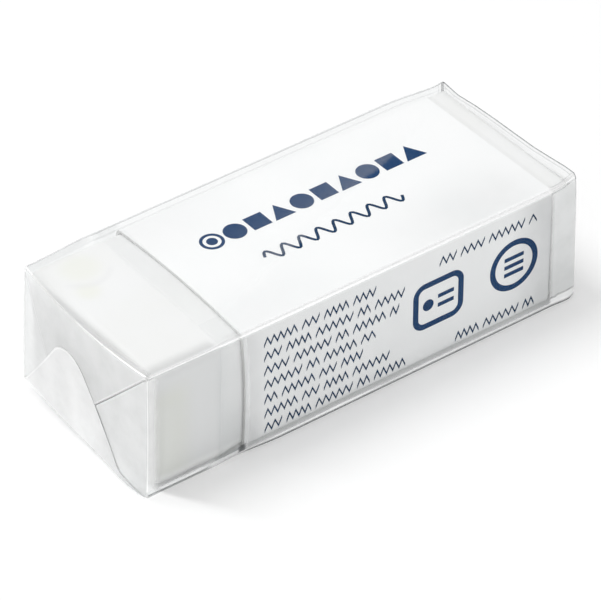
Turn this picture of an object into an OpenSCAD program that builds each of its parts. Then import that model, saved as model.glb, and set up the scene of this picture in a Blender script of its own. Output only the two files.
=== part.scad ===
// Block eraser in a printed card sleeve, overwrapped in clear film with a tear tape.
// Millimetres. X runs along the block, Y across it, Z up; the origin is at the
// centre of the film's underside. The end that shows bare eraser points to -X.

/* [Eraser block] */
// Length of the block
block_l = 46; // [36:0.5:60]
// Width of the block
block_w = 18.4; // [14:0.2:26]
// Height of the block
block_h = 12.1; // [10:0.1:16]
// Radius of the block's edges and corners
block_r = 1.2; // [0.5:0.1:2]

/* [Card sleeve] */
// Thickness of the card
card_t = 0.28; // [0.2:0.02:0.4]
// Length of the sleeve along the block
sleeve_l = 34.4; // [33.5:0.1:36]
// Distance from the block's covered end to the sleeve
sleeve_setback = 2.2; // [1.5:0.1:4]
// Radius of the card's bends, on the outside
sleeve_r = 0.7; // [0.5:0.05:1.1]
// Clearance between the card and each side of the block
sleeve_fit = 0.02; // [0.01:0.01:0.1]
// Width of the glued overlap under the block
lap_w = 7; // [4:0.5:9]
// Length over which the outer layer steps down past the inner layer's edge
lap_step = 1; // [0.6:0.1:2]
// Gap between the inner layer's edge and the step
lap_gap = 0.2; // [0.1:0.05:0.5]

/* [Film wrap] */
// Thickness of the film
film_t = 0.04; // [0.03:0.01:0.06]
// Clearance between the card and the film, at the sides and the top
film_clear = 0.12; // [0.05:0.01:0.3]
// Clearance between each end of the block and the folded film
film_end_clear = 0.58; // [0.2:0.02:1]
// Radius of the film's long creases, on the outside
film_r = 0.5; // [0.3:0.05:0.8]
// Width of the long seam under the pack
seam_w = 6; // [4:0.5:9]

/* [Folded ends] */
// Depth of the two side tucks
tuck_d = 7.9; // [7:0.1:8.5]
// Length of the top flap
top_flap_l = 8; // [7:0.2:9]
// Width of the top flap's free edge
top_flap_tip_w = 7; // [5:0.5:9]
// Length of the bottom flap
bottom_flap_l = 8.8; // [8:0.2:9.5]
// Radius of the bottom flap's rounded tip
bottom_flap_tip_r = 2.9; // [2:0.1:3.4]
// Offset of both flaps' tips from the middle, towards +Y
flap_skew = 2; // [0:0.1:2.5]
// Inset of the bottom flap's edge at its -Y root
bottom_flap_inset = 4; // [0:0.2:5]
// Height of the bottom flap's edge there
bottom_flap_lift = 0.8; // [0.4:0.1:1.5]
// Distance of the side tucks' slanting edge from the top corner
tuck_drop = 0.6; // [0.4:0.1:1.2]

/* [Tear tape] */
// Width of the tape
tape_w = 2.6; // [2:0.1:4]
// Thickness of the tape
tape_t = 0.05; // [0.03:0.01:0.08]
// Distance from the sleeve's edge to the tape
tape_gap = 0.1; // [0:0.05:1]
// Thickness of the bond between the tape and the film
tape_bond = 0.01; // [0.01:0.005:0.02]
// Reach of the tape's lapped end over the top, from the -Y side
tape_lap_l = 3.1; // [1:0.1:6]

/* [Print] */
// Thickness of the ink
ink_t = 0.02; // [0.01:0.005:0.04]
// Distance from the sleeve's open edge to the print on the top
top_margin = 4.6; // [3:0.1:6]
// Diameter of the ringed disc on the top
disc_d = 2.3; // [1.5:0.1:2.6]
// Diameter of the disc inside its ring
disc_core_d = 1.04; // [0.5:0.02:1.3]
// Stroke of the disc's ring
disc_stroke = 0.3; // [0.1:0.02:0.35]
// Height of the row of bold shapes on the top
bold_h = 2.2; // [1.5:0.1:2.8]
// Distance from one bold shape to the next
bold_pitch = 2.46; // [2.3:0.02:2.5]
// Number of bold shapes after the disc
shapes = 9; // [4:1:9]
// Distance of the bold shapes from the middle of the top
bold_y = 2.75; // [2:0.05:4]
// Height of the wavy line under the bold shapes
wave_h = 1.4; // [1:0.1:2]
// Length of one wave
wave_pitch = 1.9; // [1.5:0.05:2.5]
// Number of waves
waves = 8; // [4:1:9]
// Stroke of the wavy line
wave_stroke = 0.28; // [0.2:0.02:0.4]
// Distance of the wavy line from the middle of the top
wave_y = -1.9; // [-4:0.1:-1.5]
// Indent of the wavy line from the start of the bold shapes
wave_indent = 3.5; // [0:0.1:6]
// Distance from the sleeve's open edge to the small rows on the side
side_margin = 2.3; // [1.5:0.1:4]
// Lengths of the small rows on the side, from the top row down
row_lengths = [12.2, 15.4, 14.8, 12.2, 10.8, 14.4, 15.6];
// Distance from one small row to the next
row_pitch = 1.58; // [1.4:0.02:1.62]
// Height of the lowest small row above the sleeve's underside
row_low = 1.25; // [1:0.05:1.5]
// Height of a small row
row_h = 0.8; // [0.5:0.05:1]
// Stroke of a small row
row_stroke = 0.13; // [0.1:0.01:0.2]
// Length of the caption above the marks on the side
caption_high_l = 11.1; // [6:0.1:12]
// Length of the caption below the marks
caption_low_l = 9.1; // [6:0.1:12]
// Distance from the sleeve's covered end to both captions
caption_margin = 1.7; // [1:0.1:4]
// Distance of the upper caption's middle below the sleeve's top
caption_drop = 2.1; // [1.5:0.1:2.5]
// Distance from the sleeve's covered end to the middle of the ring
ring_margin = 4.2; // [3.5:0.1:5]
// Distance from the middle of the ring to the middle of the frame
marks_apart = 8.65; // [6:0.05:10]
// Width of the rounded frame on the side
frame_w = 5.7; // [5:0.1:6]
// Height of the rounded frame on the side
frame_h = 5.1; // [4:0.1:5.6]
// Radius of the frame's corners
frame_r = 1.3; // [0.8:0.1:2]
// Diameter of the dot in the frame
dot_d = 1.2; // [0.8:0.1:1.6]
// Radius of the ring on the side
ring_r = 2.75; // [2:0.05:3]
// Stroke of the frame and the ring
mark_stroke = 0.6; // [0.4:0.05:0.8]
// Length of the bars in the frame
frame_bar_l = 1.8; // [1:0.1:2.2]
// Length of the bars in the ring
ring_bar_l = 2.2; // [1:0.1:2.6]
// Stroke of the bars
bar_stroke = 0.42; // [0.2:0.02:0.6]
// Distance from one bar in the frame to the next
frame_bar_pitch = 1; // [0.7:0.05:1.4]
// Distance from one bar in the ring to the next
ring_bar_pitch = 0.85; // [0.7:0.05:1]

/* [Hidden] */
$fn = 48;
eps = 0.01;

// the stack from the floor up: film, film seam, card overlap, card, block
sleeve_z = 2 * film_t + card_t;
block_z = sleeve_z + card_t;

sleeve_w = block_w + 2 * (sleeve_fit + card_t);
sleeve_h = block_h + 2 * (sleeve_fit + card_t);
sleeve_x1 = block_l / 2 - sleeve_setback;
sleeve_x0 = sleeve_x1 - sleeve_l;
sleeve_top = sleeve_z + sleeve_h;
sleeve_side = -sleeve_w / 2;

film_w = sleeve_w + 2 * (film_clear + film_t);
film_h = sleeve_top + film_clear + film_t;
fold_t = 3 * film_t;
film_l = block_l + 2 * (film_end_clear + fold_t);
tube_l = film_l - 4 * film_t;

tape_x0 = sleeve_x0 - tape_gap - tape_w;

// places of the print: the row of shapes goes on from the disc at their own spacing
disc_x = sleeve_x0 + top_margin + disc_d / 2;
row_x = disc_x + disc_d / 2 + bold_pitch - bold_h / 2;
ring_x = sleeve_x1 - ring_margin;
frame_x = ring_x - marks_apart;
mark_z = sleeve_z + sleeve_h / 2;
caption_x1 = sleeve_x1 - caption_margin;
caption_low_z = sleeve_z + row_low;
caption_high_z = sleeve_top - caption_drop;

// lengths of the groups in a small row, used in turn, and the space between them
group_lengths = [3.6, 1.9, 2.7, 4.1, 1.4];
group_space = 0.5;
row_zigzag = 0.72;

// A rectangle from two corner points
module area(a, b) {
    translate(a) square(b - a);
}

// A centred rectangle with round corners
module rounded_rect(w, h, r) {
    square([w - 2 * r, h], center = true);
    square([w, h - 2 * r], center = true);
    for (sx = [-1, 1], sy = [-1, 1])
        translate([sx * (w / 2 - r), sy * (h / 2 - r)]) circle(r);
}

// The wall between a rounded rectangle and the same one set in by t
module rounded_ring(w, h, r, t) {
    difference() {
        rounded_rect(w, h, r);
        rounded_rect(w - 2 * t, h - 2 * t, r - t);
    }
}

// A section drawn in Y and Z, extruded along X from x0
module along_x(x0, l) {
    translate([x0, 0, 0]) rotate([90, 0, 90]) linear_extrude(l) children();
}

// A box with round edges and round corners, centred in X and Y, standing on z = 0
module rounded_box(l, w, h, r) {
    translate([0, 0, h / 2]) hull()
        for (sx = [-1, 1], sy = [-1, 1], sz = [-1, 1])
            translate([sx * (l / 2 - r), sy * (w / 2 - r), sz * (h / 2 - r)]) sphere(r, $fn = 32);
}

// The block of vinyl
module eraser_block() {
    color([0.94, 0.94, 0.92]) translate([0, 0, block_z]) rounded_box(block_l, block_w, block_h, block_r);
}

// The card's section: a tube whose edges overlap under the block. The inner layer comes from
// the -Y side; the outer layer steps down from the block's underside to pass below it.
module sleeve_section() {
    edge = lap_w / 2;
    step_start = edge + lap_gap;
    step_end = step_start + lap_step;
    z0 = sleeve_z;
    z1 = sleeve_z + card_t;
    difference() {
        union() {
            translate([0, z0 + sleeve_h / 2]) rounded_rect(sleeve_w, sleeve_h, sleeve_r);
            polygon([[-edge, z1], [-edge, z0 - card_t], [step_start, z0 - card_t], [step_end, z0],
                     [step_end, z1]]);
        }
        translate([0, z0 + sleeve_h / 2])
            rounded_rect(sleeve_w - 2 * card_t, sleeve_h - 2 * card_t, sleeve_r - card_t);
        polygon([[edge, z0], [step_start, z0], [step_end, z1], [step_end, z1 + eps], [edge, z1 + eps]]);
    }
}

// The printed sleeve, folded and glued from one sheet of card
module card_sleeve() {
    color([0.97, 0.97, 0.97]) along_x(sleeve_x0, sleeve_l) sleeve_section();
}

// Ink on the sleeve's top, drawn in X and Y
module ink_top() {
    translate([0, 0, sleeve_top]) linear_extrude(ink_t) children();
}

// Ink on the sleeve's -Y side, drawn in X and Z
module ink_side() {
    translate([0, sleeve_side, 0]) rotate([90, 0, 0]) linear_extrude(ink_t) children();
}

// Simple bold shapes, each drawn about its middle: disc, square, triangle
module bold_shape(kind, size) {
    if (kind == 0) circle(d = size);
    if (kind == 1) square(0.88 * size, center = true);
    if (kind == 2) polygon([[-0.5 * size, -0.45 * size], [0.5 * size, -0.45 * size], [0, 0.5 * size]]);
}

// A zigzag of a given length and height, standing on y = 0
module zigzag(length, height, pitch, stroke) {
    legs = max(2, round(2 * length / pitch));
    half = stroke / 2 * norm([length / legs, height]) / (length / legs);
    line = [for (i = [0:legs]) [i * length / legs, (i % 2) * height]];
    polygon(concat([for (p = line) p + [0, half]], [for (i = [legs:-1:0]) line[i] - [0, half]]));
}

// Start and end of each group in a small row
function groups(x, end, i = 0) =
    end - x < row_zigzag ? [] :
    let (stop = min(x + group_lengths[i % len(group_lengths)], end))
    concat([[x, stop]], groups(stop + group_space, end, i + 1));

// A small row of zigzag groups, centred on the height z
module small_row(x, z, length, height, first) {
    for (g = groups(x, x + length, first))
        translate([g[0], z - height / 2]) zigzag(g[1] - g[0], height, row_zigzag, row_stroke);
}

// Points of a wavy stroke of n waves
function wave_edge(side) =
    [for (i = [0:12 * waves])
        let (a = 30 * i, slope = wave_h / 2 * 2 * PI / wave_pitch * cos(a), n = norm([1, slope]))
        [i * wave_pitch / 12, wave_h / 2 * sin(a)] + side * wave_stroke / 2 / n * [-slope, 1]];

// A round ring
module round_ring(r, t) {
    difference() {
        circle(r);
        circle(r - t);
    }
}

// Bars stacked at an even pitch about the middle
module bars(count, length, pitch) {
    for (i = [0:count - 1])
        translate([0, (i - (count - 1) / 2) * pitch]) square([length, bar_stroke], center = true);
}

// The bold blue ink: a disc in a ring and a row of shapes on the top, two marks on the side
module print_blue() {
    // the dot and the bars stand in the frame with equal spaces beside and between them
    inside = frame_w / 2 - mark_stroke;
    space = (2 * inside - dot_d - frame_bar_l) / 3;
    color([0.14, 0.30, 0.52]) {
        ink_top() {
            translate([disc_x, bold_y]) {
                round_ring(disc_d / 2, disc_stroke);
                circle(d = disc_core_d);
            }
            for (i = [0:shapes - 1])
                translate([row_x + i * bold_pitch, bold_y]) bold_shape(i % 3, bold_h);
        }
        ink_side() {
            translate([frame_x, mark_z]) {
                rounded_ring(frame_w, frame_h, frame_r, mark_stroke);
                translate([space - inside + dot_d / 2, 0]) circle(d = dot_d);
                translate([inside - space - frame_bar_l / 2, 0])
                    bars(2, frame_bar_l, frame_bar_pitch);
            }
            translate([ring_x, mark_z]) {
                round_ring(ring_r, mark_stroke);
                bars(3, ring_bar_l, ring_bar_pitch);
            }
        }
    }
}

// The fine navy ink: a wavy line on the top, small rows on the side
module print_navy() {
    rows = len(row_lengths);
    color([0.10, 0.20, 0.36]) {
        ink_top() translate([sleeve_x0 + top_margin + wave_indent, wave_y])
            polygon(concat(wave_edge(1), [for (i = [12 * waves:-1:0]) wave_edge(-1)[i]]));
        ink_side() {
            for (i = [0:rows - 1])
                small_row(sleeve_x0 + side_margin, sleeve_z + row_low + (rows - 1 - i) * row_pitch,
                          row_lengths[i], row_h, i);
            small_row(caption_x1 - caption_high_l, caption_high_z, caption_high_l, row_h, 1);
            small_row(caption_x1 - caption_low_l, caption_low_z, caption_low_l, row_h, 2);
        }
    }
}

// The tape's section: a band of a given thickness on the inside of the film
module tape_band(t) {
    inset = film_t + tape_bond;
    translate([0, film_h / 2])
        rounded_ring(film_w - 2 * inset, film_h - 2 * inset, film_r - inset, t);
}

// A tape run round the pack, open at the film's seam and doubled where its end laps over the -Y side
module tear_tape() {
    lap_y = tape_lap_l - film_w / 2;
    color([0.93, 0.95, 0.96, 0.5]) along_x(tape_x0, tape_w) {
        difference() {
            tape_band(tape_t);
            area([-seam_w / 2 - tape_bond, 0], [seam_w / 2 + tape_bond, film_h / 2]);
        }
        intersection() {
            tape_band(2 * tape_t);
            area([-film_w / 2, 0], [lap_y, film_h]);
        }
    }
}

// The film's section: a tube with its long seam lapped inside the underside
module film_section() {
    translate([0, film_h / 2]) rounded_ring(film_w, film_h, film_r, film_t);
    area([-seam_w / 2, 0], [seam_w / 2, 2 * film_t]);
}

// One panel of a folded end, as wide as the pack's corners let it be, from layer a to layer b
module end_panel(a, b) {
    along_x(-film_l / 2 + fold_t - b * film_t, (b - a) * film_t) intersection() {
        translate([0, film_h / 2]) rounded_rect(film_w, film_h, film_r);
        children();
    }
}

// The side tuck on the +Y side: the full height of the end at its root, cut at 45 degrees on top
module side_tuck() {
    y = film_w / 2;
    polygon([[y, 0], [y, film_h], [y - tuck_drop, film_h], [y - tuck_d, film_h - tuck_d + tuck_drop],
             [y - tuck_d, 0]]);
}

// The top flap: a trapezoid that narrows to its free edge
module top_flap() {
    y = film_w / 2;
    z = film_h - top_flap_l;
    tip = top_flap_tip_w / 2;
    polygon([[-y, film_h], [y, film_h], [flap_skew + tip, z], [flap_skew - tip, z]]);
}

// Angle on a circle of radius r about c at which a line from p touches it, on the side s
function touch_angle(p, c, r, s) = atan2(p[1] - c[1], p[0] - c[0]) + s * acos(r / norm(p - c));

// The bottom flap: straight edges from its roots to a round tip
module bottom_flap() {
    y = film_w / 2;
    far_root = [y, 0];
    near_root = [bottom_flap_inset - y, bottom_flap_lift];
    c = [flap_skew, bottom_flap_l - bottom_flap_tip_r];
    a0 = touch_angle(far_root, c, bottom_flap_tip_r, 1);
    a1 = touch_angle(near_root, c, bottom_flap_tip_r, -1) + 360;
    steps = 12;
    tip = [for (i = [0:steps]) let (a = a0 + (a1 - a0) * i / steps) c + bottom_flap_tip_r * [cos(a), sin(a)]];
    polygon(concat([[-y, 0], far_root], tip, [near_root]));
}

// One end, folded like an envelope: side tucks first, then the top flap, then the bottom flap
module folded_end() {
    end_panel(0, 1) for (m = [0, 1]) mirror([m, 0]) side_tuck();
    end_panel(1, 2) top_flap();
    end_panel(1, 3) bottom_flap();
}

// The clear film, one sheet wrapped round the pack and sealed
module film_wrap() {
    color([0.96, 0.98, 1, 0.25]) {
        along_x(-tube_l / 2, tube_l) film_section();
        folded_end();
        mirror([1, 0, 0]) folded_end();
    }
}

eraser_block();
card_sleeve();
print_blue();
print_navy();
tear_tape();
film_wrap();
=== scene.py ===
"""Looks of a block eraser in a printed card sleeve, overwrapped in clear film.

Metres, in the frame of the CAD part: X along the block, its bare end at -X, Y across it,
Z up, with the floor at z = 0. The near side is the printed one, at -Y.
"""

import math

import bpy
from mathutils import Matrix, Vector, noise


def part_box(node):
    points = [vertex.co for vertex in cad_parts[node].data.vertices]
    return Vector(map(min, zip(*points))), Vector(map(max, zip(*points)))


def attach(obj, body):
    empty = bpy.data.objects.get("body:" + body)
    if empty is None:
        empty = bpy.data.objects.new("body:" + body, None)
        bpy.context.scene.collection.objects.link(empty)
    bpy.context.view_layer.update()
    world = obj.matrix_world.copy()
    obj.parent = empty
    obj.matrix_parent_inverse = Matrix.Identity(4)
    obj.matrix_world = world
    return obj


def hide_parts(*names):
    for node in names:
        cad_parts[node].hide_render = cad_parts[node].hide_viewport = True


MM = 0.001

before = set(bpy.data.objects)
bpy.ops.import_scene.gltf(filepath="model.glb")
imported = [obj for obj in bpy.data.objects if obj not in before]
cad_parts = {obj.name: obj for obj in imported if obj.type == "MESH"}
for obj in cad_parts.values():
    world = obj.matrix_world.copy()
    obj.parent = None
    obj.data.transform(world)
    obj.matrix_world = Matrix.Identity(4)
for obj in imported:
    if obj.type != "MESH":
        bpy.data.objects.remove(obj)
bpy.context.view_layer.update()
film_lo, film_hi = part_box("film_wrap")
sleeve_lo, sleeve_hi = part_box("card_sleeve")
block_lo, block_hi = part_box("eraser_block")
tape_lo, tape_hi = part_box("tear_tape")

# the wrapped pack: half its width, its height, and its ends by their sign
HALF_W = film_hi.y
TOP = film_hi.z
LEFT, RIGHT = film_lo.x, film_hi.x
ENDS = {-1: LEFT, 1: RIGHT}
# how far out a point of the film is, as a share of the wall's place, to count as on the wall
AT_WALL = 0.96
# the sleeve's cut edges
SLEEVE_LEFT, SLEEVE_RIGHT = sleeve_lo.x, sleeve_hi.x
# how far the block is pushed out of its CAD place, up to the film at its covered end
PUSHED = 0.28 * MM

# side and level of the four long folds, from the near side's foot round to the far side's
FOLDS = ((-1, 0), (-1, 1), (1, 1), (1, 0))

# the card: its thickness, its fold radii, and the overlap under the block that steps down past an edge
CARD = 0.28 * MM
CARD_FOLDS = (0.7 * MM, 0.4 * MM, 0.7 * MM, 0.7 * MM)
CARD_LAP, CARD_GAP, CARD_STEP = 7 * MM, 0.2 * MM, 1 * MM

# the film: its thickness, the distance between the folded panels of an end, and its waves' depth
FILM = 0.02 * MM
PLY = 0.028 * MM
WAVE = 0.05 * MM
# radius of the film's turn into each end
RIM = 0.15 * MM
# half width of the seam under the pack, how far its upper layer rises, and over what width
SEAM_HALF, SEAM_RISE, SEAM_SLOPE = 3 * MM, 0.06 * MM, 0.8 * MM
# radii in mm of the film's four long folds: tight on the bare block, softer over the card
FOLD_ON_BLOCK = (0.28, 0.28, 0.28, 0.28)
FOLD_ON_CARD = (0.4, 0.42, 0.4, 0.4)
FOLD_PAST_CARD = (0.28, 0.42, 0.28, 0.28)
# shares of each wall's width at which the film has points, closer together near both its ends
WALL_STEPS = (
    0.006, 0.013, 0.02, 0.027, 0.034, 0.045, 0.06, 0.067, 0.08, 0.17, 0.3, 0.45, 0.6, 0.75, 0.87, 0.93,
    0.952, 0.962, 0.972, 0.985, 0.994,
)

# the folded ends
TUCK_DEPTH = 7.9 * MM
TOP_FLAP, TOP_FLAP_TIP = 8 * MM, 3.5 * MM
BOTTOM_FLAP, BOTTOM_FLAP_RADIUS = 8.8 * MM, 2.9 * MM
BOTTOM_FLAP_INSET, BOTTOM_FLAP_LIFT = 3.9 * MM, 0.75 * MM
FLAP_SKEW = 2 * MM
# rows of a panel along its free edge, by distance from it in mm, and the most that each may take
# of a short row: a painted highlight, then a painted dark line
BORDER = ((0.3, 0.8), (0.16, 0.6), (0.1, 0.4), (0.06, 0.2))

# the tape: its thickness, how deep its two layers lie, and where its lap ends on the top
TAPE = 0.02 * MM
TAPE_INSET, TAPE_LAP_INSET = 0.07 * MM, 0.13 * MM
TAPE_LAP_END, TAPE_LAP_SLANT = -6.7 * MM, 0.25

# how far the real folds stand from a true box: (end, side, level) to (x, y, z) in mm
CORNER_SHIFTS = {
    (-1, 1, 1): (0.57, -0.05, 0.09),
    (-1, 1, 0): (0.0, 0.0, 0.94),
    (-1, -1, 1): (0.03, 0.0, 0.09),
    (-1, -1, 0): (-0.2, 0.0, 0.05),
    (1, -1, 1): (-0.1, 0.0, 0.08),
    (1, -1, 0): (0.18, 0.0, 0.0),
    (1, 1, 1): (-0.1, 0.0, 0.0),
    (1, 1, 0): (0.0, 0.0, 0.2),
}

# where the faint stains lie on the top of the block: x, y and reach
STAINS = ((-19.1 * MM, 6.8 * MM, 2.6 * MM), (-20.4 * MM, 3.7 * MM, 1.6 * MM))

# a look of the film is its shade, veil and tone at a vertex; film_material says what they do
LOOK = ("shade", "veil", "tone")
CLEAR = (0.0, 0.0, 1.0)

scene = bpy.context.scene
scene.view_settings.view_transform = "Standard"
# each layer of film is two surfaces to look through, and several layers lie in line
scene.cycles.transparent_max_bounces = 32


# ---------------------------------------------------------------- numbers


def clamp(value):
    """The value, held between 0 and 1."""
    return min(max(value, 0.0), 1.0)


def smoothstep(low, high, value):
    """0 at low and 1 at high, smooth between and level beyond. Low may be the larger."""
    t = clamp((value - low) / (high - low))
    return t * t * (3 - 2 * t)


def ramp(low, high, length):
    """The smoothstep of a length between two others that are given in mm."""
    return smoothstep(low * MM, high * MM, length)


def tent(centre, reach, length):
    """1 where the length is at the centre, straight down to 0 at the reach, both given in mm."""
    return max(0.0, 1 - abs(length - centre * MM) / (reach * MM))


def bell(centre, reach, value):
    """A bell curve, 1 at the centre and 0.37 at the reach."""
    return math.exp(-(((value - centre) / reach) ** 2))


def lerp(a, b, t):
    """The value t of the way from a to b."""
    return a + (b - a) * t


def between(a, b, t):
    """The point t of the way from a to b, each given as (y, z)."""
    return lerp(a[0], b[0], t), lerp(a[1], b[1], t)


def rgb(red, green=None, blue=None):
    """An opaque colour, grey if only one value is given."""
    return (red, red if green is None else green, red if blue is None else blue, 1)


# ---------------------------------------------------------------- meshes


def new_object(name, verts, faces, smooth=True):
    """A mesh object made from vertices and faces, linked to the scene."""
    mesh = bpy.data.meshes.new(name)
    mesh.from_pydata([tuple(v) for v in verts], [], faces)
    mesh.validate()
    for polygon in mesh.polygons:
        polygon.use_smooth = smooth
    obj = bpy.data.objects.new(name, mesh)
    scene.collection.objects.link(obj)
    return obj


def set_looks(obj, looks):
    """Stores the look of each vertex as attributes, for the material to read."""
    for name, values in zip(LOOK, zip(*looks)):
        attribute = obj.data.attributes.new(name, "FLOAT", "POINT")
        attribute.data.foreach_set("value", values)


def add_thickness(obj, thickness):
    """Turns a sheet into a thin closed shell, whose cut edges don't shade as if they were rounded."""
    thick = obj.modifiers.new("thickness", "SOLIDIFY")
    thick.thickness = thickness
    thick.offset = 0
    crisp = obj.modifiers.new("crisp_edges", "EDGE_SPLIT")
    crisp.split_angle = math.radians(50)


def grid_faces(rows, columns, start=0):
    """Quads of a grid of vertices that are stored row by row."""
    faces = []
    for row in range(rows - 1):
        for column in range(columns - 1):
            v = start + row * columns + column
            faces.append((v, v + 1, v + columns + 1, v + columns))
    return faces


def join(parts):
    """One list of vertices, of faces and of looks from several parts."""
    verts, faces, looks = [], [], []
    for part_verts, part_faces, part_looks in parts:
        faces += [tuple(i + len(verts) for i in face) for face in part_faces]
        verts += part_verts
        looks += part_looks
    return verts, faces, looks


def without_loose(verts, faces, looks):
    """The same parts without the vertices that no face uses."""
    used = sorted({i for face in faces for i in face})
    place = {v: i for i, v in enumerate(used)}
    faces = [tuple(place[i] for i in face) for face in faces]
    return [verts[i] for i in used], faces, [looks[i] for i in used]


def fold_arc(index, half, low, high, radius, steps):
    """Points (y, z) through one of the four folds of a box of a half width between two levels."""
    side, level = FOLDS[index]
    centre = (side * (half - radius), (high - radius) if level else (low + radius))
    points = []
    for k in range(steps + 1):
        angle = math.radians(270 - 90 * index - 90 * k / steps)
        points.append((centre[0] + radius * math.cos(angle), centre[1] + radius * math.sin(angle)))
    return points


# ---------------------------------------------------------------- nodes


class Nodes:
    """Builds the node tree of a material, or of the world."""

    def __init__(self, owner, output="OutputMaterial"):
        owner.use_nodes = True
        self.owner = owner
        self.output = output
        self.tree = owner.node_tree
        self.tree.nodes.clear()

    def add(self, kind, settings=None, **inputs):
        """A node with its properties set. An input is named, or is i and its number, and is given
        a value or linked."""
        node = self.tree.nodes.new("ShaderNode" + kind)
        for key, value in (settings or {}).items():
            setattr(node, key, value)
        for key, value in inputs.items():
            numbered = key[0] == "i" and key[1:].isdigit()
            socket = node.inputs[int(key[1:]) if numbered else key.replace("_", " ")]
            if isinstance(value, bpy.types.NodeSocket):
                self.tree.links.new(value, socket)
            else:
                socket.default_value = value
        return node

    def math(self, operation, a, b=0.0):
        """The output of a Math node."""
        return self.add("Math", {"operation": operation}, i0=a, i1=b).outputs[0]

    def times(self, a, *factors):
        """The product of two or more values."""
        for factor in factors:
            a = self.math("MULTIPLY", a, factor)
        return a

    def plus(self, a, b):
        """The sum of two values."""
        return self.math("ADD", a, b)

    def greater(self, a, b):
        """The greater of two values."""
        return self.math("MAXIMUM", a, b)

    def absolute(self, a):
        """A value without its sign."""
        return self.math("ABSOLUTE", a)

    def remap(self, value, low, high, to_low=0.0, to_high=1.0):
        """The value taken smoothly from one range to another. Low may be the larger."""
        return self.add("MapRange", {"interpolation_type": "SMOOTHSTEP"}, Value=value, From_Min=low,
                        From_Max=high, To_Min=to_low, To_Max=to_high).outputs["Result"]

    def mix_color(self, factor, a, b):
        """The output of a colour Mix node."""
        return self.add("Mix", {"data_type": "RGBA"}, i0=factor, i6=a, i7=b).outputs[2]

    def mix_shader(self, factor, a, b):
        """The output of a Mix Shader node."""
        return self.add("MixShader", i0=factor, i1=a, i2=b).outputs[0]

    def attribute(self, name):
        """A number stored on the vertices."""
        return self.add("Attribute", {"attribute_name": name}).outputs["Fac"]

    def place(self):
        """Where a point is, in object coordinates."""
        return self.add("TexCoord").outputs["Object"]

    def parts(self, vector):
        """The X, Y and Z of a vector."""
        return self.add("SeparateXYZ", Vector=vector).outputs

    def distance(self, a, b):
        """The distance between two points."""
        return self.add("VectorMath", {"operation": "DISTANCE"}, i0=a, i1=b).outputs["Value"]

    def noise(self, scale, detail=2.0, roughness=0.5):
        """The output of a Noise Texture in object coordinates."""
        return self.add("TexNoise", Vector=self.place(), Scale=scale, Detail=detail,
                        Roughness=roughness).outputs["Fac"]

    def bump(self, height, strength, distance):
        """The output of a Bump node."""
        return self.add("Bump", Height=height, Strength=strength, Distance=distance).outputs["Normal"]

    def seen(self):
        """1 where a ray shows the surface itself, in a gloss or through the film, else 0."""
        path = self.add("LightPath").outputs
        direct = self.greater(path["Is Camera Ray"], path["Is Glossy Ray"])
        return self.greater(direct, path["Is Transmission Ray"])

    def finish(self, shader):
        """Gives the tree its output and returns what it belongs to."""
        self.add(self.output, Surface=shader)
        return self.owner


# ---------------------------------------------------------------- camera and studio


def make_camera():
    """A long lens, above the bare end and the side with the small print."""
    azimuth, elevation = math.radians(-37.09), math.radians(37.92)
    distance = 383.3 * MM
    field = math.radians(8)
    target = Vector((0, 0, 6.62 * MM))
    shift_right, shift_up = -0.15 * MM, -1.61 * MM
    back = Vector((
        math.sin(azimuth) * math.cos(elevation),
        -math.cos(azimuth) * math.cos(elevation),
        math.sin(elevation),
    ))
    right = Vector((0, 0, 1)).cross(back).normalized()
    up = back.cross(right)
    data = bpy.data.cameras.new("camera")
    data.sensor_width = 36
    data.lens = data.sensor_width / 2 / math.tan(field / 2)
    data.clip_start, data.clip_end = 0.01, 10
    camera = bpy.data.objects.new("camera", data)
    camera.location = target + back * distance + right * shift_right + up * shift_up
    camera.rotation_euler = (-back).to_track_quat("-Z", "Y").to_euler()
    scene.collection.objects.link(camera)
    scene.camera = camera


def make_world(ambient):
    """Even light on the object; brighter wherever it is seen, mirrored or seen through the film."""
    world = bpy.data.worlds.new("studio")
    scene.world = world
    n = Nodes(world, "OutputWorld")
    strength = n.remap(n.seen(), 0.0, 1.0, ambient, 1.0)
    n.finish(n.add("Background", Color=rgb(0.8), Strength=strength).outputs[0])


def make_lamp(name, direction, distance, size, power):
    """An area lamp of a width and a height that looks at the middle of the object."""
    data = bpy.data.lights.new(name, "AREA")
    data.shape = "RECTANGLE"
    data.size, data.size_y = size
    data.energy = power
    lamp = bpy.data.objects.new(name, data)
    towards = Vector(direction).normalized()
    lamp.location = Vector((0, 0, TOP / 2)) + towards * distance
    lamp.rotation_euler = (-towards).to_track_quat("-Z", "Y").to_euler()
    scene.collection.objects.link(lamp)


def make_floor():
    """A pale floor that is white where it is seen, and keeps the object's soft shadow."""
    half = 1.5
    corners = [(-half, -half, 0), (half, -half, 0), (half, half, 0), (-half, half, 0)]
    floor = new_object("floor", corners, [(0, 1, 2, 3)])
    n = Nodes(bpy.data.materials.new("floor_paper"))
    seen = n.seen()
    paper = n.add("BsdfDiffuse", Color=n.mix_color(seen, rgb(0.9), rgb(0.8))).outputs[0]
    # a little more where it is mirrored, so that milky film stays pale
    mirrored = n.add("LightPath").outputs["Is Glossy Ray"]
    strength = n.plus(n.times(seen, 0.2), n.times(mirrored, 0.12))
    white = n.add("Emission", Color=rgb(1), Strength=strength).outputs[0]
    floor.data.materials.append(n.finish(n.add("AddShader", i0=paper, i1=white).outputs[0]))


# ---------------------------------------------------------------- materials


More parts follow.
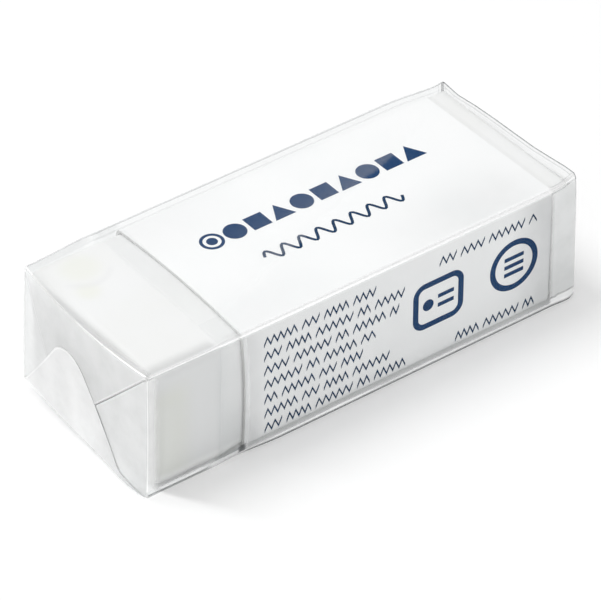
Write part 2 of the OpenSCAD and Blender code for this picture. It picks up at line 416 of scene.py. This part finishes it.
def stain_amount(n, place):
    """How strongly the stains show, with outlines that a fine noise breaks up."""
    wobble = 2.2 * MM
    texture = n.add("TexNoise", Scale=380, Detail=3).outputs["Color"]
    moved = n.add("VectorMath", {"operation": "MULTIPLY_ADD"}, i0=texture, i1=(wobble,) * 3, i2=place)
    amount = 0.0
    for x, y, reach in STAINS:
        # half the wobble is its mean
        centre = (x + wobble / 2, y + wobble / 2, block_hi.z + wobble / 2)
        spot = n.distance(moved.outputs["Vector"], centre)
        amount = n.greater(amount, n.remap(spot, reach, 0.35 * reach))
    return amount


def painted_dent_shade(n, place):
    """How strongly the painted shade of a shallow dent shows: a crescent round the near side of the first
    stain.
    """
    x, y, reach = STAINS[0]
    spot = n.distance(place, (x, y, block_hi.z))
    inner = n.remap(spot, 0.7 * reach, reach)
    outer = n.remap(spot, reach + 0.5 * MM, reach + 0.1 * MM)
    near_side = n.remap(n.parts(place)["Y"], y - 0.3 * reach, y - 0.7 * reach)
    return n.times(inner, outer, near_side)


def eraser_material():
    """White vinyl: waxy, a little light goes in, with faint handling marks, and painted shade and light on
    its sides, its foot and a shallow dent.
    """
    n = Nodes(bpy.data.materials.new("eraser_vinyl"))
    place = n.place()
    at = n.parts(place)
    turned = n.absolute(n.parts(n.add("NewGeometry").outputs["Normal"])["Y"])
    cloud = n.noise(90, 3, 0.6)
    color = n.mix_color(n.remap(cloud, 0.35, 0.7), rgb(0.905), rgb(0.885, 0.885, 0.875))
    # painted shade: the long sides, picked by their facing, are greyer; painted light makes them less so
    # beside the sleeve, against its shadow
    side = n.remap(turned, 0.6, 0.9)
    painted_light_by_sleeve = n.times(n.remap(at["X"], -16.2 * MM, -14.2 * MM), n.remap(at["Z"], 3 * MM, 7 * MM))
    color = n.mix_color(side, color, n.mix_color(painted_light_by_sleeve, rgb(0.795, 0.80, 0.80), rgb(0.878)))
    # and painted shade, darker and yellower, low down on the sides towards the bare end
    darker_yellower_low = n.times(n.remap(at["Z"], 12 * MM, 9 * MM), n.remap(at["X"], -18 * MM, -20.5 * MM), side)
    uneven = n.remap(n.noise(150), 0.3, 0.7, 0.6, 1.0)
    color = n.mix_color(n.times(darker_yellower_low, uneven), color, rgb(0.765, 0.775, 0.725))
    # painted light: paler low down on the sides near the foot, against the shade there
    foot = n.times(n.remap(at["Z"], 2.0 * MM, 0.9 * MM), n.remap(turned, 0.2, 0.6))
    color = n.mix_color(foot, color, rgb(0.95, 0.95, 0.94))
    color = n.mix_color(n.times(stain_amount(n, place), 0.65), color, rgb(0.86, 0.865, 0.80))
    color = n.mix_color(n.times(painted_dent_shade(n, place), 0.3), color, rgb(0.8))
    fine = n.noise(2600, 2, 0.6)
    bump = n.bump(n.plus(n.times(cloud, 0.6), n.times(fine, 0.12)), 0.35, 0.12 * MM)
    shader = n.add("BsdfPrincipled", Base_Color=color, Roughness=0.55, Normal=bump, Specular_IOR_Level=0.3,
                   Subsurface_Weight=0.15, Subsurface_Radius=(1, 1, 1), Subsurface_Scale=0.8 * MM)
    return n.finish(shader.outputs[0])


def card_material():
    """Coated white board, smooth on its faces, with grey raw board on its cut edges."""
    n = Nodes(bpy.data.materials.new("sleeve_card"))
    turned = n.absolute(n.parts(n.add("NewGeometry").outputs["Normal"])["X"])
    fibre = n.noise(1500, 3, 0.65)
    face = n.mix_color(n.remap(n.noise(140), 0.3, 0.7), rgb(0.965), rgb(0.945, 0.95, 0.95))
    core = n.mix_color(fibre, rgb(0.72, 0.72, 0.71), rgb(0.86, 0.855, 0.84))
    color = n.mix_color(n.remap(turned, 0.6, 0.9), face, core)
    bump = n.bump(fibre, 0.25, 0.02 * MM)
    shader = n.add("BsdfPrincipled", Base_Color=color, Roughness=0.45, Normal=bump, Specular_IOR_Level=0.25)
    return n.finish(shader.outputs[0])


def ink_material(name, dark, light):
    """Offset ink on coated board: even, with a fine mottle."""
    n = Nodes(bpy.data.materials.new(name))
    tone = n.mix_color(n.remap(n.noise(2200, 3, 0.6), 0.35, 0.7), dark, light)
    bump = n.bump(n.noise(1500, 3, 0.65), 0.2, 0.02 * MM)
    shader = n.add("BsdfPrincipled", Base_Color=tone, Roughness=0.5, Normal=bump, Specular_IOR_Level=0.1)
    return n.finish(shader.outputs[0])


def glare_amount(n):
    """A soft diagonal glare on the top, sharp on its lower side and fading away from it."""
    strength = 0.075
    x, y, z = n.parts(n.place())
    # the distance from the glare's sharp side, a slanting line with a waver
    away = n.plus(n.times(n.plus(y, 1.4 * MM), 0.942), n.times(x, -0.335))
    waver = n.times(n.math("SUBTRACT", n.noise(170), 0.5), 1.6 * MM)
    away = n.plus(away, waver)
    fade = n.math("EXPONENT", n.math("DIVIDE", away, -3.4 * MM))
    glare = n.times(n.remap(away, -0.15 * MM, 0.6 * MM), n.math("MINIMUM", fade, 1.0))
    left_end = n.remap(x, SLEEVE_LEFT - 2 * MM, SLEEVE_LEFT + 3 * MM)
    right_end = n.remap(x, 19 * MM, 13 * MM)
    on_top = n.remap(z, TOP - 0.6 * MM, TOP - 0.3 * MM)
    return n.times(glare, left_end, right_end, on_top, strength)


def film_material(name, tint, rim_shade, glare):
    """Clear film. shade is painted shade, darkening what is seen through it; veil lays a sheen over
    that, grey to white by tone, which is the film's milkiness and also painted highlights; rim_shade is how
    dark it gets where it is seen edge on."""
    n = Nodes(bpy.data.materials.new(name))
    shade, veil, tone = (n.attribute(part) for part in LOOK)
    facing = n.add("LayerWeight", Blend=0.5).outputs["Facing"]
    grain = n.remap(n.noise(700, 3, 0.6), 0.25, 0.7, 0.85, 1.1)
    shade = n.greater(n.remap(facing, 0.85, 1.0, 0.0, rim_shade), n.times(shade, grain))
    color = n.mix_color(shade, tint, rgb(0.3, 0.31, 0.32))
    through = n.add("BsdfTransparent", Color=color).outputs[0]
    # a faint gloss, stronger where the film is seen at a slant
    ripple = n.bump(n.noise(180), 0.3, 0.05 * MM)
    gloss = n.add("BsdfGlossy", Roughness=0.12, Normal=ripple).outputs[0]
    grazing = n.math("POWER", facing, 5.0)
    mirrored = n.times(n.plus(n.times(grazing, 0.5), 0.04), 0.12)
    film = n.mix_shader(mirrored, through, gloss)
    sheen_color = n.mix_color(tone, rgb(0.79, 0.80, 0.80), rgb(1))
    sheen = n.add("BsdfGlossy", Color=sheen_color, Roughness=0.4, Normal=ripple).outputs[0]
    amount = n.times(veil, n.remap(n.noise(330, 3, 0.55), 0.2, 0.75, 0.9, 1.07))
    if glare:
        amount = n.plus(amount, glare_amount(n))
    film = n.mix_shader(amount, film, sheen)
    # milky film holds back a little of the light
    held_back = n.mix_color(n.times(veil, 0.08), tint, rgb(0))
    lets_light_by = n.add("BsdfTransparent", Color=held_back).outputs[0]
    is_shadow = n.add("LightPath").outputs["Is Shadow Ray"]
    return n.finish(n.mix_shader(is_shadow, film, lets_light_by))


# ---------------------------------------------------------------- eraser block


def edge_reach(x, across, up):
    """How far the rounding of the block runs in x, y and z. across and up are -1 to 1."""
    far = smoothstep(-0.8, 0.8, across)
    high = smoothstep(-0.6, 0.6, up)
    top = smoothstep(0.7, 0.95, up)
    bare_end = lerp(lerp(1.5, 0.35, top), lerp(0.6, 1.25, high), far)
    return MM * Vector((
        bare_end if x < 0 else 0.35,
        lerp(1.1, 0.45, far),
        lerp(0.22, lerp(0.85, 0.45, far), high),
    ))


def block_point(p, half, middle):
    """Where a point of the block's box lies, with soft edges, faces not quite flat, and a swell
    where the block leaves the sleeve."""
    reach = edge_reach(p.x, p.y / half.y, p.z / half.z)
    core = Vector([min(max(p[k], reach[k] - half[k]), half[k] - reach[k]) for k in range(3)])
    out = Vector([(p[k] - core[k]) / reach[k] for k in range(3)]).normalized()
    point = core + Vector([out[k] * reach[k] for k in range(3)])
    uneven = noise.noise(point * 160) * 0.03 * MM + noise.noise(point * 45) * 0.03 * MM
    free = ramp(0, -2.5, middle.x + point.x - SLEEVE_LEFT)
    swell = Vector((0, 0.14 * out.y, (0.12 if out.z > 0 else 0.45) * out.z)) * MM * free
    return middle + point + out * (uneven - 0.04 * MM) + swell


def make_eraser():
    """The block: six grids of points, closer together towards the edges."""
    pushed_hi = block_hi + Vector((PUSHED, 0, 0))
    half = (pushed_hi - block_lo) / 2
    middle = (pushed_hi + block_lo) / 2
    cells = (46, 26, 20)
    verts, faces = [], []
    for axis in range(3):
        a, b = (axis + 1) % 3, (axis + 2) % 3
        for side in (-1, 1):
            for v0, v1, v2, v3 in grid_faces(cells[a] + 1, cells[b] + 1, len(verts)):
                faces.append((v0, v3, v2, v1) if side > 0 else (v1, v2, v3, v0))
            for i in range(cells[a] + 1):
                for j in range(cells[b] + 1):
                    p = Vector((0, 0, 0))
                    p[axis] = side * half[axis]
                    p[a] = -half[a] * math.cos(math.pi * i / cells[a])
                    p[b] = -half[b] * math.cos(math.pi * j / cells[b])
                    verts.append(block_point(p, half, middle))
    obj = new_object("eraser_vinyl", verts, faces)
    merge = obj.modifiers.new("merge", "WELD")
    merge.merge_threshold = 0.002 * MM
    obj.data.materials.append(eraser_material())
    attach(obj, "root")
    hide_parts("eraser_block")


# ---------------------------------------------------------------- card sleeve


def edge_bow(y, z):
    """How far the sleeve's cut edge is drawn back from the bare end: most on the top, less on the sides."""
    on_top = 0.45 * max(0, 1 - (abs(y / MM - 1.5) / 10) ** 2.2)
    on_side = 0.28 * math.sin(math.pi * z / TOP)
    return lerp(on_side, on_top, ramp(-2, -0.5, z - sleeve_hi.z)) * MM


def sleeve_path():
    """Points (y, z) round the middle of the card, from one edge of the overlap to the other."""
    half, low, high = sleeve_hi.y - CARD / 2, block_lo.z - CARD / 2, sleeve_hi.z - CARD / 2
    path = [(CARD_LAP / 2, low)]
    for index, radius in enumerate(CARD_FOLDS):
        arc = fold_arc(index, half, low, high, radius - CARD / 2, 10)
        # steps along each wall, for the bow of the cut edge
        last = path[-1]
        path += [between(last, arc[0], k / 10) for k in range(1, 10)]
        path += arc
    edge = CARD_LAP / 2 + CARD_GAP
    return path + [(edge + CARD_STEP, low), (edge, low - CARD), (-CARD_LAP / 2, low - CARD)]


def make_sleeve():
    """The card sleeve, one folded sheet whose edges overlap under the block."""
    path = sleeve_path()
    rows = 13
    verts = []
    for row in range(rows):
        for y, z in path:
            x = lerp(SLEEVE_LEFT + edge_bow(y, z), SLEEVE_RIGHT, row / (rows - 1))
            verts.append((x, y, z))
    obj = new_object("sleeve", verts, grid_faces(rows, len(path)), smooth=False)
    add_thickness(obj, CARD)
    obj.data.materials.append(card_material())
    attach(obj, "root")
    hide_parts("card_sleeve")


# ---------------------------------------------------------------- shape of the film


def far_share(y):
    """How far a place lies across the pack, 0 at its near side and 1 at its far side."""
    return clamp((y + HALF_W) / (2 * HALF_W))


def settle(p):
    """Moves a point of the ideal wrap to where the slack, pulled film lies."""
    p = Vector(p)
    moved = Vector(p)
    high, far = clamp(p.z / TOP), far_share(p.y)
    from_left, to_right = p.x - LEFT, RIGHT - p.x
    for (end, side, level), shift in CORNER_SHIFTS.items():
        along = ramp(8, 0, abs(ENDS[end] - p.x))
        across = far_share(p.y * side)
        weight = along * across**2.2 * (high if level else 1 - high) ** 1.6
        moved += Vector(shift) * MM * weight
    # the far top fold stands off between the ends, and the top dips beyond the sleeve
    middle = ramp(0, 9, from_left) * ramp(0, 7, to_right)
    moved += Vector((0, 0.27, 0.25)) * MM * (far * high) ** 3 * middle
    moved.z -= 0.14 * MM * high**6 * tent(1.3, 1.3, p.x - SLEEVE_RIGHT)
    # the covered end's top fold dips in towards its far corner and stands up near the other one
    covered = ramp(3, 0, to_right) * high**3
    crest = bell(-8.4 * MM, 3.1 * MM, p.y)
    dent = bell(6.8 * MM, 1.8 * MM, p.y)
    moved += Vector((0.16 * crest - 0.28 * dent, 0, 0.27 * crest)) * MM * covered
    # its near corner is drawn in
    ear = ramp(2.4, 0, to_right) * (1 - far) ** 12 * high**6
    moved.y += 0.36 * MM * ear
    # the near fold's foot is pushed out under the sleeve, and has a bead under the bare end
    foot = (1 - far) ** 8 * (1 - high) ** 22 * ramp(-1, 4, p.x - SLEEVE_LEFT) * ramp(0, 1, to_right)
    bead = tent(0.57, 0.24, p.z) * (far < 0.05) * ramp(0, 1, from_left) * ramp(6.4, 5.9, from_left)
    moved.y -= (0.42 * foot + 0.14 * bead) * MM
    # the bare end is pushed out between its corners, most near its far top edge
    belly = math.sin(math.pi * far**0.8) * ramp(5, 0, from_left)
    moved.x -= belly * lerp(0.25, 0.5, high**2) * MM
    # and at its foot, beside the near corner
    sag = bell(0.14, 0.16, far) * (1 - high) ** 3 * ramp(3, 0, from_left)
    moved.x -= 0.36 * sag * MM
    return moved


def fold_radius(index, x):
    """Radius of one of the four long folds at x."""
    on_card = ramp(-3.0, -1.8, x - SLEEVE_LEFT)
    past_card = ramp(0, 1.5, x - SLEEVE_RIGHT)
    radius = lerp(FOLD_ON_BLOCK[index], FOLD_ON_CARD[index], on_card)
    return lerp(radius, FOLD_PAST_CARD[index], past_card) * MM


def ring(x, inset, shrink=0.0):
    """Points round the pack at x as (y, z, fold, turn) from the lapped seam and back to it. fold is
    0 to 3 in a fold, else None; turn runs 0 to 1 through it."""
    half, low, high = HALF_W - inset - shrink, inset + shrink + FILM / 2, TOP - inset - shrink
    points = [(y, low + SEAM_RISE, None, 0) for y in (SEAM_HALF, 0, -SEAM_HALF)]
    points.append((-SEAM_HALF - SEAM_SLOPE, low, None, 0))
    steps = 6
    for index in range(len(FOLDS)):
        radius = max(fold_radius(index, x) - inset, 0.05 * MM)
        arc = fold_arc(index, half, low, high, radius, steps)
        last = points[-1]
        points += [(*between(last, arc[0], s), None, 0) for s in WALL_STEPS]
        points += [(y, z, index, k / steps) for k, (y, z) in enumerate(arc)]
    last = points[-1]
    points += [(lerp(last[0], -SEAM_HALF, s), low, None, 0) for s in WALL_STEPS + (1.0,)]
    return points


def pulled_in(x, y, z):
    """Which way the film is drawn in at a point of a ring, and by what share of a wave's depth."""
    coarse = noise.noise(Vector((x * 160, y * 210, z * 210)))
    fine = noise.noise(Vector((x * 420, y * 420, z * 420 + 9)))
    sway = coarse + 0.5 * fine
    across = -(abs(y) / HALF_W) ** 6 * math.copysign(1, y)
    up = -abs(z / TOP * 2 - 1) ** 6 * math.copysign(1, z - TOP / 2)
    return Vector((0, across, up)) * (0.5 + 0.5 * sway)


def strip(stations, inset, wave):
    """Vertices, faces and ring points of a strip that runs round the pack. stations gives, for
    each ring, its x and how much smaller it is; wave is the depth of its waves."""
    verts, where = [], []
    for x, shrink in stations:
        points = ring(x, inset, shrink)
        for y, z, fold, turn in points:
            # taut in the folds and along the seam
            taut = fold is not None or (abs(y) < HALF_W / 2 and z < TOP / 2)
            verts.append(settle(Vector((x, y, z)) + pulled_in(x, y, z) * (0 if taut else wave)))
            where.append((x, y, z, fold, turn))
    return verts, grid_faces(len(stations), len(points)), where


# ---------------------------------------------------------------- looks of the film


def foot_look(x, z, turn):
    """Look of the near side's lowest strip, where the film is pressed to a lip, with painted
    highlights and painted dark lines, or None above it. turn is 0 to 1 in the fold, else None."""
    in_fold = turn is not None
    if x < LEFT + 6.2 * MM:
        # under the bare end: a painted highlight on the fold, a painted dark line, and a painted pale lip
        # that fades towards the corner
        if in_fold:
            return (0.1, 0.0, 1.0) if turn > 0.6 else (0.0, 0.8, 1.0)
        if z < 0.4 * MM:
            return 0.35, 0.0, 1.0
        return (0.0, 0.5 * ramp(0, 2, x - LEFT), 0.0) if z < 0.75 * MM else None
    if abs(x - SLEEVE_LEFT + 0.3 * MM) < 0.3 * MM and 0.45 * MM < z < 1.15 * MM:
        # painted shadow in the gap at the foot of the sleeve's cut edge
        return 0.6, 0.0, 1.0
    if x < SLEEVE_LEFT:
        # under the tape: a faint painted highlight along the lip
        if in_fold:
            return (0.15 if turn > 0.6 else 0.0), 0.3, 1.0
        return (0.0, 0.4, 1.0) if z < 0.7 * MM else None
    if in_fold:
        # a painted dark line between greyish painted sheens under the sleeve
        return (0.38, 0.0, 1.0) if 0.45 < turn < 0.9 else (0.0, 0.5, 0.1)
    if x < SLEEVE_RIGHT:
        return (0.0, 0.4, 0.0) if z < 0.5 * MM else None
    # beyond the sleeve: a painted highlight on the lip below a painted dark line
    if z < 0.9 * MM:
        return 0.0, 0.75, 0.6
    return (0.25, 0.0, 1.0) if z < 1.1 * MM else None


def fold_look(index, turn, bare, covered):
    """Look of a long fold: a painted sheen along its middle, between two thin painted dark lines."""
    sheen = (0.5, 0.4, 0.12, 0.3)[index]
    sheen_at_ends = (0.55, 0.3, 0.55, 0.55)[index]
    line = (0.16, 0.0, 0.17, 0.1)[index]
    line_on_bare = (0.1, 0.1, 0.15, 0.1)[index]
    veil = lerp(sheen, sheen_at_ends, max(bare, 0.6 * covered)) * (1 - abs(turn - 0.5) * 2)
    shade = lerp(lerp(line, line_on_bare, bare), 0.2, covered) if turn in (0, 1) else 0.0
    return shade, veil, 1.0


def near_side_look(x, y, z, covered):
    """Look of the near side: painted shade on the card towards both of its cut edges and low
    down near the floor; the film is milky beyond the card, with painted light near the bare end."""
    past_cut, past_card = x - SLEEVE_LEFT, x - SLEEVE_RIGHT
    # painted shade on the card towards both of its cut edges
    painted_edge_shade = 0.067 * ramp(3.2, 0.6, past_cut) + 0.036 * ramp(4.2, 2.4, z) * ramp(2.1, 1, past_cut)
    painted_edge_shade *= ramp(-0.3, 0, past_cut)
    painted_edge_shade += 0.03 * ramp(1, 4, past_cut) * (1 - covered)
    painted_edge_shade += 0.085 * ramp(-5.6, -0.4, past_card) * (1 - covered)
    # milky beyond the card, and painted light near the bare end
    milky = 0.6 * covered + 0.35 * ramp(1.5, 0.3, x - LEFT)
    # a painted highlight where the film comes down from the card
    painted_pale_line = 0.25 * tent(0.2, 0.2, past_cut - edge_bow(y, z))
    # with painted shade low down near the floor
    return max(0.06 * ramp(3.2, 0, z), painted_edge_shade), max(milky, painted_pale_line), lerp(1.0, 0.05, covered)


def far_side_look(z, bare, covered):
    """Look of the far side: painted shade low down near the floor and towards its top, milky low down
    beyond the card.
    """
    below_top = TOP - z
    shade = max(0.06 * ramp(3.2, 0, z), lerp(0.02, 0.05, bare) * ramp(3, 1, below_top))
    return shade, 0.25 * covered * ramp(1, 3, below_top), 1.0


def top_look(x, y, bare):
    """Look of the slack top: painted shade in bands and lines, and painted light near both ends."""
    from_left, to_right = x - LEFT, RIGHT - x
    past_cut, past_card = x - SLEEVE_LEFT, x - SLEEVE_RIGHT
    far = far_share(y)
    # painted light near the near corner of the bare end
    milky = 0.35 * (1 - far) * ramp(0.9, 0.2, from_left)
    right_dim = 0.045 * ramp(0, 14, x) * ramp(-1, -7, y) * ramp(1, 7, to_right)
    edge_dim = 0.022 * ramp(0, 0.5, past_cut) * ramp(14, 3, past_cut) * ramp(2, 7, abs(y))
    shades = [
        # painted shade towards the bare end, over a wider band on the far side
        0.045 * far * ramp(lerp(0.9, 2.0, far), 0, from_left),
        # a painted shadow beside the card's cut edge
        0.03 * ramp(-0.05, 0.15, past_card) * ramp(0.6, 0.15, past_card),
        # painted shade along the far edge, with a painted dark line inside it
        lerp(0.025, 0.07, bare) * ramp(1.6, 0.6, HALF_W - y),
        0.13 * tent(1.06, 0.14, HALF_W - y),
        # painted shade along the near edge of the bare end
        0.12 * bare * ramp(1.7, 0.35, y + HALF_W),
        # painted shade on the sleeve's top, towards its near edge on the right, and a little beside its cut
        # edge
        right_dim + edge_dim,
    ]
    # and painted light before the covered end
    return max(shades), max(milky, 0.12 * ramp(1.2, 0.7, to_right)), 1.0


def rim_look(look, rim, x, z, upright):
    """Look of the film's turn into an end, from that of the tube there: a painted highlight along its
    middle, between painted dark lines. rim is 0 to 1 through it.
    """
    shade, veil, tone = look
    middle = 1 - abs(rim - 0.5) * 2
    veil = max(veil, (0.6 if upright else 0.25) * middle)
    if x < 0:
        shade = 0.03 if rim in (0, 1) else 0.0
        if rim == 0 and z > TOP * 0.9:
            # painted light, as milky as the flap that goes on from it
            veil = max(veil, 0.45)
    else:
        shade = lerp(0.6, 0.3, middle) if z > TOP * 0.8 else lerp(0.12, 0.0, middle)
    if upright and rim == 0:
        shade = 0.3
    return shade, veil, tone


def tube_look(x, y, z, fold, turn, rim):
    """Look of a point of the tube. rim is 0 to 1 through its turn into an end, else None."""
    # 1 over the bare block before the tape, and 1 beyond the sleeve at the covered end
    bare = ramp(-2.6, -3.2, x - SLEEVE_LEFT)
    covered = ramp(-0.1, 0.3, x - SLEEVE_RIGHT)
    near = y < 0
    on_side = fold is None and abs(y) > HALF_W * AT_WALL
    on_top = fold is None and not on_side and z > TOP * AT_WALL
    if fold is not None:
        look = fold_look(fold, turn, bare, covered)
    elif on_side:
        look = near_side_look(x, y, z, covered) if near else far_side_look(z, bare, covered)
    elif on_top:
        look = top_look(x, y, bare)
    else:
        look = CLEAR
    # a painted dark line across the sides and the top before the covered end
    if (on_side or on_top) and abs(RIGHT - x - 0.5 * MM) < 0.04 * MM:
        look = (max(look[0], 0.2 if on_side else 0.22), *look[1:])
    if near and z < 2 * MM and (on_side if fold is None else turn > 0.3):
        look = foot_look(x, z, None if fold is None else turn) or look
    if rim is not None:
        look = rim_look(look, rim, x, z, upright=x < 0 and near and on_side)
    return look


# ---------------------------------------------------------------- film wrap


def tube():
    """The film along the pack, turned in over both ends."""
    left = []
    for t in (0, 0.25, 0.5, 0.75, 1):
        angle = math.radians(90 * t)
        left.append((LEFT + RIM * (1 - math.cos(angle)), RIM * (1 - math.sin(angle)), t))
    right = [(LEFT + RIGHT - x, shrink, t) for x, shrink, t in reversed(left)]
    xs = [LEFT + RIM + 0.06 * MM, LEFT + RIM + 0.25 * MM]
    while xs[-1] < RIGHT - 0.85 * MM:
        x = xs[-1]
        # closer together at the ends and at the sleeve's edges
        nearest = min(abs(x - SLEEVE_LEFT + 1.5 * MM), abs(x - SLEEVE_RIGHT), x - LEFT, RIGHT - x)
        xs.append(x + (0.25 * MM if nearest < 2.4 * MM else 0.7 * MM))
    # and at the painted dark line before the covered end
    xs += [RIGHT - d * MM for d in (0.56, 0.5, 0.44, 0.32, 0.22)]
    stations = left + [(x, 0, None) for x in xs] + right
    verts, faces, where = strip([(x, shrink) for x, shrink, _ in stations], 0, WAVE)
    per = len(verts) // len(stations)
    looks = [tube_look(*w, stations[i // per][2]) for i, w in enumerate(where)]
    return verts, faces, looks


def panel(end, outline, plies, veil, tone, line):
    """A folded panel of one end. outline gives, for each step along its root, the root and the
    free edge as ((y, z), (y, z)); plies is how far it lies inside the end plane; line is how
    strongly its free edge shows."""
    depth = plies * PLY
    even_rows = 14
    verts, looks = [], []
    for root, tip in outline:
        length = max(math.dist(root, tip), 0.001 * MM)
        border = [1 - min(distance * MM / length, most) for distance, most in BORDER]
        rows = [border[0] * row / even_rows for row in range(even_rows)] + border + [1]
        for v in rows:
            y, z = between(root, tip, v)
            # all the panels of an end wave together, so none cuts through the next
            loose = ramp(0, 3, min(HALF_W - abs(y), z, TOP - z))
            wave = WAVE * loose * noise.noise(Vector((y * 230, z * 120, end * 3.0)))
            verts.append(settle((ENDS[end] - end * (depth - wave), y, z)))
            streak = noise.noise(Vector((y * 420, z * 90, depth * 5000)))
            # the covered end is seen through the top, from within, along its upper edge
            clear = 1 if end < 0 else lerp(1, 0.15, ramp(-2, -1, z - TOP))
            # painted shade where the folds run together at the near foot
            grey = ramp(4.5, 0.5, math.dist((y, z), (-HALF_W, 0)))
            # a painted dark line along the free edge, else the painted shade at the near foot
            shade = line * 0.13 if v > border[2] else 0.1 * grey
            painted_highlight = 0.2 * line if v == border[1] else 0
            milky = veil(y, z) * clear * (1 + 0.08 * streak) + painted_highlight
            looks.append((shade, min(0.95, milky), tone * (1 - grey)))
    return verts, grid_faces(len(outline), len(rows)), looks


def side_tuck_outline(side, steps=24):
    """Root up one upright edge; free edge as deep as the tuck, cut at 45 degrees on top."""
    inner = HALF_W - RIM
    rows = []
    for k in range(steps + 1):
        z = lerp(0.1 * MM, TOP - 0.6 * MM, k / steps)
        reach = min(TUCK_DEPTH, max(TOP - z - 0.3 * MM, 0.05 * MM))
        rows.append(((side * inner, z), (side * (inner - reach), z)))
    return rows


def fan_outline(edge, inner, level, steps=44):
    """Pairs even steps along a root line at one level with even steps along the free edge."""
    lengths = [0.0]
    for a, b in zip(edge, edge[1:]):
        lengths.append(lengths[-1] + (b - a).length)
    rows, k = [], 0
    for step in range(steps + 1):
        want = lengths[-1] * step / steps
        while k < len(edge) - 2 and lengths[k + 1] < want:
            k += 1
        t = (want - lengths[k]) / (lengths[k + 1] - lengths[k])
        tip = edge[k].lerp(edge[k + 1], clamp(t))
        rows.append(((lerp(inner, -inner, step / steps), level), (tip.x, tip.y)))
    return rows


def top_flap_outline():
    """Root along the top edge; free edge down one side, along the end and up the other."""
    inner, high = HALF_W - RIM, TOP - RIM
    low = high - TOP_FLAP
    tip = [Vector((FLAP_SKEW + side * TOP_FLAP_TIP, low)) for side in (1, -1)]
    return fan_outline([Vector((inner, high)), *tip, Vector((-inner, high))], inner, high)


def bottom_flap_outline():
    """Root along the bottom edge; free edge up one side, round the tip and down the other."""
    inner, low = HALF_W - RIM, RIM
    centre = Vector((FLAP_SKEW, BOTTOM_FLAP - BOTTOM_FLAP_RADIUS))
    far_root = Vector((inner, low))
    near_root = Vector((-inner + BOTTOM_FLAP_INSET, BOTTOM_FLAP_LIFT))

    def touch(p, turn):
        """The angle at which the line from a point touches the tip's circle."""
        d = p - centre
        return math.atan2(d.y, d.x) + turn * math.acos(BOTTOM_FLAP_RADIUS / d.length)

    start, stop = touch(far_root, 1), touch(near_root, -1) + 2 * math.pi
    angles = [lerp(start, stop, k / 14) for k in range(15)]
    tip = [centre + BOTTOM_FLAP_RADIUS * Vector((math.cos(a), math.sin(a))) for a in angles]
    return fan_outline([far_root, *tip, near_root, Vector((-inner, low))], inner, low)


def tuck_veil(y, z):
    """How milky a side tuck is: less where the top flap lies over it."""
    tip = FLAP_SKEW * math.copysign(1, y) + TOP_FLAP_TIP
    slope = (TOP_FLAP - RIM) / (HALF_W - RIM - tip)
    over = (HALF_W - RIM - abs(y)) * slope - (TOP - RIM - z)
    return lerp(0.62, 0.42, ramp(-0.3, 0.3, over))


def top_flap_veil(y, z):
    """How milky the top flap is: more towards its far top corner, where it is painted light."""
    return lerp(0.45, 0.7, ramp(13, 23, y + z))


def bottom_flap_veil(y, z):
    """How milky the bottom flap is: more towards its far side."""
    return lerp(0.35, 0.7, ramp(-7, -1, y))


def make_film():
    """The film wrap: the tube with its lapped seam, and both folded ends."""
    parts = [tube()]
    for end in ENDS:
        for side in (-1, 1):
            parts.append(panel(end, side_tuck_outline(side), 2.4, tuck_veil, tone=0.35, line=0.25))
        parts.append(panel(end, top_flap_outline(), 1.4, top_flap_veil, tone=0.5, line=1))
        parts.append(panel(end, bottom_flap_outline(), 0.4, bottom_flap_veil, tone=0.72, line=1))
    verts, faces, looks = join(parts)
    obj = new_object("film", verts, faces)
    set_looks(obj, looks)
    add_thickness(obj, FILM)
    obj.data.materials.append(film_material("wrap_film", rgb(0.993, 0.995, 0.995), 0.23, glare=True))
    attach(obj, "root")
    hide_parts("film_wrap")


# ---------------------------------------------------------------- tear tape


def tape_layer(inset, lapped):
    """One turn of the tape, at its inset from the film; the lapped layer covers only a part of it."""
    count = 9
    stations = [(lerp(tape_lo.x, tape_hi.x, k / (count - 1)), 0) for k in range(count)]
    verts, faces, where = strip(stations, inset, 0.0)
    per = len(verts) // count
    looks, left_out = [], []
    for i, (x, y, z, _, _) in enumerate(where):
        # the tape runs at a slight slant
        verts[i].x += 0.3 * MM * z / TOP + 0.15 * MM * (1 + y / HALF_W)
        at_edge = i // per in (0, count - 1)
        on_top = z > TOP / 2
        # painted shade on the top, towards its far side
        dim = 0.018 * ramp(-4, 2, y) if on_top and not lapped else 0.0
        looks.append(CLEAR if at_edge else (dim, 0.04, 1.0))
        # the lap goes from a slanting free edge on the top, down the near side, to the seam
        free_edge = TAPE_LAP_END + TAPE_LAP_SLANT * (x - tape_lo.x)
        left_out.append(on_top and y > free_edge or y > -SEAM_HALF)
    if lapped:
        faces = [face for face in faces if not all(left_out[i] for i in face)]
    return verts, faces, looks


def make_tape():
    """The tear tape, a clear strip on the inside of the film, lapped over itself on one side."""
    layers = [tape_layer(TAPE_INSET, lapped=False), tape_layer(TAPE_LAP_INSET, lapped=True)]
    verts, faces, looks = without_loose(*join(layers))
    obj = new_object("tape", verts, faces)
    set_looks(obj, looks)
    add_thickness(obj, TAPE)
    obj.data.materials.append(film_material("tape_film", rgb(0.995, 0.996, 0.996), 0.04, glare=False))
    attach(obj, "root")
    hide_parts("tear_tape")


# ---------------------------------------------------------------- the scene


def dress_cad_nodes():
    """Better materials for the CAD nodes whose shape is right."""
    inks = {
        "print_blue": ("ink_blue", rgb(0.008, 0.045, 0.135), rgb(0.012, 0.055, 0.152)),
        "print_navy": ("ink_navy", rgb(0.007, 0.034, 0.09), rgb(0.013, 0.048, 0.115)),
    }
    for node, (name, dark, light) in inks.items():
        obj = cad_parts[node]
        obj.data.materials.clear()
        obj.data.materials.append(ink_material(name, dark, light))


make_camera()
make_world(ambient=0.81)
make_lamp("key", (-0.57, 0.822, 1.95), distance=0.4, size=(0.04, 0.24), power=0.71)
make_lamp("fill", (0.35, -1, 0.28), distance=0.09, size=(0.04, 0.04), power=0.0078)
make_floor()
dress_cad_nodes()
make_eraser()
make_sleeve()
make_tape()
make_film()
